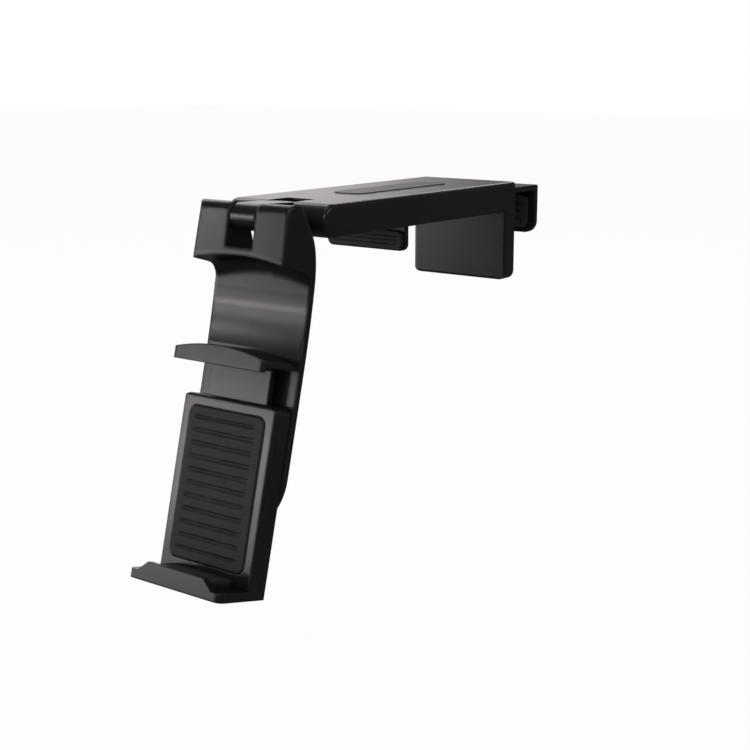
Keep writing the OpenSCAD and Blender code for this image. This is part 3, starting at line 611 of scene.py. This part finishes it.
@dataclass(frozen=True)
class WoundSpring:
    """A round-wire coil spring with its end turns wound close."""

    length: float
    radius: float
    wire: float
    turns: float
    closed: float = 1.5
    closed_pitch: float = 2.05
    per_turn: int = 28
    sides: int = 12

    def shape(self) -> tuple[np.ndarray, list[tuple[int, ...]]]:
        """Carry a circle along a helix.

        The rise along the axis eases in and out over the closed end turns, where the wire touches itself.
        The circle lies in the plane of the outward radius and the spring's axis.

        Returns:
            Points with the spring along z from 0, and faces, one of them across each end of the wire.
        """
        rings = int(self.turns * self.per_turn) + 1
        turn = np.linspace(0, self.turns, rings)
        tight = self.closed_pitch * self.wire
        ease = np.clip(np.minimum(turn, self.turns - turn) / self.closed, 0, 1)
        ease = ease * ease * (3 - 2 * ease)
        rise = np.concatenate([[0.0], np.cumsum((ease[1:] + ease[:-1]) / 2 * np.diff(turn))])
        spare = self.length - 2 * self.wire - tight * self.turns
        rise = self.wire + tight * turn + rise * spare / rise[-1]
        angle = 2 * math.pi * turn[:, None]
        around = 2 * math.pi * np.arange(self.sides)[None, :] / self.sides
        reach = self.radius + self.wire * np.cos(around)
        height = rise[:, None] + self.wire * np.sin(around)
        tube = np.stack([reach * np.cos(angle), reach * np.sin(angle), height], -1)
        last = (rings - 1) * self.sides
        faces = [tuple(quad) for quad in grid_faces(rings, self.sides, closed=True)]
        faces += [tuple(range(self.sides))[::-1], tuple(last + i for i in range(self.sides))]
        return tube.reshape(-1, 3), faces


def spring_pair(name: str, node: str, axes: Axes, along: int, turns: float, wire: float) -> bpy.types.Object:
    """Wind a pair of springs where a CAD node has them.

    Args:
        name: The piece's name.
        node: The CAD node of the two springs, which lie side by side along x.
        axes: The frame they are straight in.
        along: Number of the local axis that they are wound along.
        turns: Turns of each spring.
        wire: Radius of the wire.

    Returns:
        One mesh object with both springs, in spring wire and in place of the CAD node.
    """
    low, high = axes.box(node)
    third = 3 - along
    outer = (high[third] - low[third]) / 2
    points, faces = WoundSpring(high[along] - low[along], outer - wire, wire, turns).shape()
    every, joined = [], []
    for number, centre in enumerate((low[0] + outer, high[0] - outer)):
        local = np.empty_like(points)
        local[:, 0] = centre + points[:, 0]
        local[:, along] = low[along] + points[:, 2]
        local[:, third] = (low[third] + high[third]) / 2 + points[:, 1]
        every.append(local)
        joined += [tuple(int(i) + number * len(points) for i in face) for face in faces]
    piece = mesh_piece(name, axes.out(np.vstack(every)), joined, SPRING_WIRE)
    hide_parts(node)
    return piece


def rubber_pad(name: str, node: str, axes: Axes, out: int, sign: int, style: PadStyle, body: Body) -> None:
    """Mould a rubber pad where a CAD node has a plain one.

    Args:
        name: The piece's name.
        node: The CAD node of the plain pad.
        axes: The frame that the pad is straight in.
        out: Number of the local axis that the pad's face looks along, 1 or 2.
        sign: Which way it looks along that axis, 1 or -1.
        style: How the pad is moulded.
        body: The body it rides on.
    """
    low, high = axes.box(node)
    up = 3 - out
    seat = (low + high) / 2
    seat[out] = low[out] if sign > 0 else high[out]
    face, rise = sign * axes.rows()[out], axes.rows()[up]
    size = high - low
    points, faces = RibbedPad(size[0], size[up], size[out], style).shape()
    placed = Axes(axes.out(seat), np.cross(rise, face), rise, face).out(points)
    piece = mesh_piece(name, placed, faces, SoftRubber())
    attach(piece, body.value)
    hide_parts(node)


def dress(finish: Finish, *nodes: str) -> None:
    """Give CAD nodes a finish in place of their plain colour."""
    for node in nodes:
        data = frame["nodes"][node].data
        data.materials.clear()
        data.materials.append(finish.material())


@dataclass
class ClampArm:
    """The arm: a channel with its stop plate, inlaid strip, stop pad, guide rods, springs and pin."""

    stop_style: PadStyle = PadStyle(corner=0.0026, rim=0.0007, pitch=0.004, groove=0.0005, margin=0.003)
    turns: float = 24.0
    wire: float = 0.0003

    def build(self) -> None:
        """Dress the moulding and make the stop pad and the two springs."""
        dress(MouldedShell(), "arm_channel", "fold_pin_cap")
        dress(InlaidStrip(), "top_strip")
        dress(TurnedSteel(), "guide_rods", "fold_pin")
        axes = row_axes()
        rubber_pad("stop_pad_rubber", "stop_pad", axes, 1, 1, self.stop_style, Body.ARM)
        spring = spring_pair("slide_spring_pair", "slide_springs", axes, 1, self.turns, self.wire)
        low, high = axes.box("slide_springs")
        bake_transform(spring)
        LOG.info("clamp arm dressed, stop pad and slide springs made")


@dataclass
class HookSlide:
    """The sliding hook with its tongue, lip, finger grip and their rubber pads."""

    hook_style: PadStyle = PadStyle(corner=0.003, rim=0.0005, pitch=0.0032, groove=0.0005, margin=0.0022)
    grip_style: PadStyle = PadStyle(
        corner=0.0022, rim=0.0006, pitch=0.00148, groove=0.00022, margin=0.0012, step=0.00012
    )

    def build(self) -> None:
        """Dress the mouldings and make the hook's pad and the grip's pad."""
        dress(MouldedShell(), "hook_slide", "finger_grip")
        dress(TurnedSteel(), "grip_screws")
        axes = row_axes()
        rubber_pad("hook_pad_rubber", "hook_pad", axes, 1, -1, self.hook_style, Body.HOOK)
        rubber_pad("grip_pad_rubber", "grip_pad", axes, 1, -1, self.grip_style, Body.HOOK)
        LOG.info("hook slide dressed, hook pad and grip pad made")


@dataclass
class FoldLink:
    """The short link between the arm and the bracket, with its friction washers."""

    def build(self) -> None:
        """Dress the link and its washers."""
        dress(MouldedShell(), "link")
        dress(TurnedSteel(), "fold_washers", "tilt_washers")
        LOG.info("fold link dressed")


@dataclass
class LeaningBracket:
    """The hood and strap in one moulding, with the tilt pin and its cap."""

    def build(self, head: Axes) -> None:
        """Dress the moulding, the pin and the cap.

        Args:
            head: The leaning frame of the holder, which the strap runs along.
        """
        pivot = float(np.array(joint("head_tilt")["pos_m"], float) @ head.z)
        shell = BentShell(upward=tuple(head.z.tolist()), backward=tuple(head.y.tolist()), pivot=pivot)
        dress(shell, "bracket")
        dress(MouldedShell(), "tilt_pin_cap")
        dress(TurnedSteel(), "tilt_pin")
        LOG.info("leaning bracket dressed")


@dataclass
class SprungHolder:
    """The housing with its lower shelf, back pad, lower pad, screws, swivel parts and jaw springs."""

    back_style: PadStyle = PadStyle(corner=0.0029, rim=0.0006, pitch=0.0046, groove=0.0005, margin=0.003)
    shelf_style: PadStyle = PadStyle(corner=0.0008, rim=0.0005, pitch=0.0024, groove=0.0006, margin=0.0006)
    turns: float = 11.0
    wire: float = 0.0003

    def build(self, head: Axes) -> None:
        """Dress the housing and make its pads and springs.

        Args:
            head: The leaning frame of the holder.
        """
        dress(MouldedShell(), "holder_back", "holder_front", "swivel_cap")
        dress(TurnedSteel(), "holder_screws", "swivel_washer", "swivel_screw")
        rubber_pad("back_pad_rubber", "back_pad", head, 1, -1, self.back_style, Body.HOLDER)
        rubber_pad("lower_pad_rubber", "lower_jaw_pad", head, 2, 1, self.shelf_style, Body.HOLDER)
        spring = spring_pair("jaw_spring_pair", "jaw_springs", head, 2, self.turns, self.wire)
        low, high = head.box("jaw_springs")
        start = head.out(np.array([0.0, low[1], low[2]]))
        end = head.out(np.array([0.0, low[1], high[2]]))
        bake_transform(spring)
        LOG.info("sprung holder dressed, pads and jaw springs made")


@dataclass
class UpperJaw:
    """The sprung upper jaw with its rubber pad."""

    pad_style: PadStyle = PadStyle(corner=0.0008, rim=0.0004, pitch=0.0024, groove=0.0004, margin=0.0006)

    def build(self, head: Axes) -> None:
        """Dress the jaw and make its pad.

        Args:
            head: The leaning frame of the holder.
        """
        dress(MouldedShell(), "upper_jaw")
        rubber_pad("upper_pad_rubber", "upper_jaw_pad", head, 2, -1, self.pad_style, Body.JAW)
        LOG.info("upper jaw dressed, pad made")


@dataclass
class Softbox:
    """A rectangular lamp that looks at a point."""

    name: str
    place: Triple
    aim: Triple
    width: float
    height: float
    watts: float

    def build(self) -> None:
        """Make the lamp."""
        lamp = bpy.data.lights.new(self.name, "AREA")
        lamp.shape = "RECTANGLE"
        lamp.size, lamp.size_y, lamp.energy = self.width, self.height, self.watts
        lamp.color = WARM
        box = bpy.data.objects.new(self.name, lamp)
        toward = Vector(self.aim) - Vector(self.place)
        turn = toward.to_track_quat("-Z", "Y").to_matrix().to_4x4()
        box.matrix_world = Matrix.Translation(self.place) @ turn
        bpy.context.scene.collection.objects.link(box)


@dataclass
class PaleFloor:
    """A wide floor that the camera sees nearly white and that gloss sees as a sheet lit from the left."""

    height: float = -0.20
    half: float = 6.0
    grey: Triple = (0.80, 0.80, 0.80)
    seen_white: float = 0.965
    left_way: Triple = (-0.85, -0.53, 0.0)
    left_band: Band = (0.40, 1.10)
    turned_way: Triple = (-0.829, 0.559, 0.0)
    turned_band: Band = (-0.10, 0.22)
    gloss_low: float = 0.06
    gloss_rise: float = 2.6

    def finish(self) -> bpy.types.Material:
        """Matt with a soft shadow, white for the camera, graded for gloss, and clear from below.

        The gloss is a low level plus one smooth step to the left times another across it.

        Returns:
            The floor's material.
        """
        made = bpy.data.materials.new("pale_floor")
        tree = Tree(made)
        camera = tree.node("ShaderNodeLightPath", {}, {}, "Is Camera Ray")
        glossy = tree.node("ShaderNodeLightPath", {}, {}, "Is Glossy Ray")
        under = tree.node("ShaderNodeNewGeometry", {}, {}, "Backfacing")
        left = tree.along(self.left_way).ramp(*self.left_band)
        turned = tree.along(self.turned_way).ramp(*self.turned_band)
        sheen = self.gloss_low + left * turned * self.gloss_rise
        matt = tree.node("ShaderNodeBsdfDiffuse", {}, {"Color": opaque(self.grey)})
        lit = tree.blend(glossy, matt, tree.glow(WARM, sheen))
        above = tree.blend(camera * self.seen_white, lit, tree.glow(WHITE, 1.0))
        tree.show(tree.blend(under, above, tree.node("ShaderNodeBsdfTransparent", {}, {})))
        return made

    def build(self) -> None:
        """Make the floor."""
        sides = ((-1, -1), (1, -1), (1, 1), (-1, 1))
        points = [(x * self.half, y * self.half, self.height) for x, y in sides]
        mesh = bpy.data.meshes.new("studio_floor")
        mesh.from_pydata(points, [], [(0, 1, 2, 3)])
        mesh.materials.append(self.finish())
        floor = bpy.data.objects.new("studio_floor", mesh)
        bpy.context.scene.collection.objects.link(floor)


@dataclass
class Surround:
    """The world: white for the camera, a dim dome for matt surfaces and a graded glow for gloss."""

    dome: float = 0.28
    gloss_low: float = 0.09
    behind_way: Triple = (-0.62, 0.78, 0.10)
    behind_band: Band = (0.30, 0.90)
    across_way: Triple = (-0.76, -0.65, 0.0)
    across_band: Band = (-0.17, 0.01)
    across_low: float = 0.12
    raised_band: Band = (0.15, 0.60)
    raised_loss: float = 0.8

    def build(self) -> None:
        """Make the world.

        Gloss sees a low level plus a glow behind the mount, which grows by a smooth step towards one side
        and fades by another with height.
        """
        world = bpy.data.worlds.new("studio")
        bpy.context.scene.world = world
        tree = Tree(world)
        rays = ("Is Camera Ray", "Is Glossy Ray", "Is Transmission Ray")
        camera, glossy, clear = (tree.node("ShaderNodeLightPath", {}, {}, ray) for ray in rays)
        way = tree.node("ShaderNodeTexCoord", {}, {}, "Generated")
        behind = tree.dot(way, self.behind_way).ramp(*self.behind_band)
        across = tree.dot(way, self.across_way).ramp(*self.across_band)
        raised = tree.dot(way, (0.0, 0.0, 1.0)).ramp(*self.raised_band)
        side = self.across_low + across * (1.0 - self.across_low)
        lit = self.gloss_low + behind * side * (1.0 - raised * self.raised_loss)
        plain = camera + clear + (1.0 - camera - clear) * self.dome
        sky = tree.blend(glossy, tree.backdrop(WHITE, plain), tree.backdrop(WARM, lit))
        tree.show(sky, "ShaderNodeOutputWorld")


@dataclass
class Studio:
    """A pale floor, a plain surround and soft lamps, with the camera at the photograph's angle."""

    eye: Triple = (0.31893, -0.48744, 0.05137)
    forward: Triple = (-0.588, 0.779, -0.218)
    upward: Triple = (-0.1315, 0.1741, 0.9759)
    lens: float = 66.74
    sensor: float = 36.0
    near: float = 0.01
    boxes: list[Softbox] = field(
        default_factory=lambda: [
            Softbox("front_left", (-1.705, -1.968, 0.152), (0.0, -0.14, -0.04), 0.70, 0.28, 4.3),
            Softbox("high_left", (-1.15, -1.10, 0.34), (0.0, -0.14, -0.02), 0.26, 0.06, 0.9),
            Softbox("edge_left", (-0.52, -1.62, 0.18), (0.0, -0.14, -0.04), 0.60, 0.30, 1.5),
            Softbox("camera_side", (0.78, -1.14, 0.76), (0.0, -0.12, -0.03), 0.70, 0.35, 3.6),
            Softbox("back_high", (-0.50, 1.35, 0.72), (0.0, -0.05, 0.0), 0.60, 0.30, 1.9),
            Softbox("right_rear", (1.55, 0.45, 0.75), (0.0, -0.10, -0.02), 0.80, 0.40, 2.4),
            Softbox("left_rear", (-1.30, 0.55, 0.95), (0.0, -0.10, -0.02), 0.80, 0.40, 2.4),
            Softbox("top_fill", (-0.25, -0.20, 1.25), (0.0, -0.10, 0.0), 0.7, 0.7, 1.6),
        ]
    )

    def camera(self) -> None:
        """Make the camera and set it as the scene's."""
        data = bpy.data.cameras.new("photo_view")
        data.lens, data.sensor_width, data.clip_start = self.lens, self.sensor, self.near
        camera = bpy.data.objects.new("photo_view", data)
        back = -Vector(self.forward).normalized()
        side = Vector(self.upward).normalized().cross(back).normalized()
        turn = Matrix((side, back.cross(side), back)).transposed().to_4x4()
        camera.matrix_world = Matrix.Translation(self.eye) @ turn
        bpy.context.scene.collection.objects.link(camera)
        bpy.context.scene.camera = camera

    def build(self) -> None:
        """Make the camera, lamps, floor and world."""
        self.camera()
        for box in self.boxes:
            box.build()
        PaleFloor().build()
        Surround().build()
        bpy.context.scene.view_settings.view_transform = "Standard"
        LOG.info("studio made with %d lamps", len(self.boxes))


def clear_default_objects() -> None:
    """Remove whatever Blender's start-up scene holds beside the frame."""
    kept = {*frame["nodes"].values(), *frame["bodies"].values()}
    for thing in [o for o in bpy.data.objects if o not in kept]:
        bpy.data.objects.remove(thing)


def main() -> None:
    """Build the studio and every sub-assembly in order."""
    logging.basicConfig(level=logging.INFO, format="%(name)s: %(message)s")
    clear_default_objects()
    Studio().build()
    head = head_axes()
    ClampArm().build()
    HookSlide().build()
    FoldLink().build()
    LeaningBracket().build(head)
    SprungHolder().build(head)
    UpperJaw().build(head)


if __name__ == "__main__":
    main()
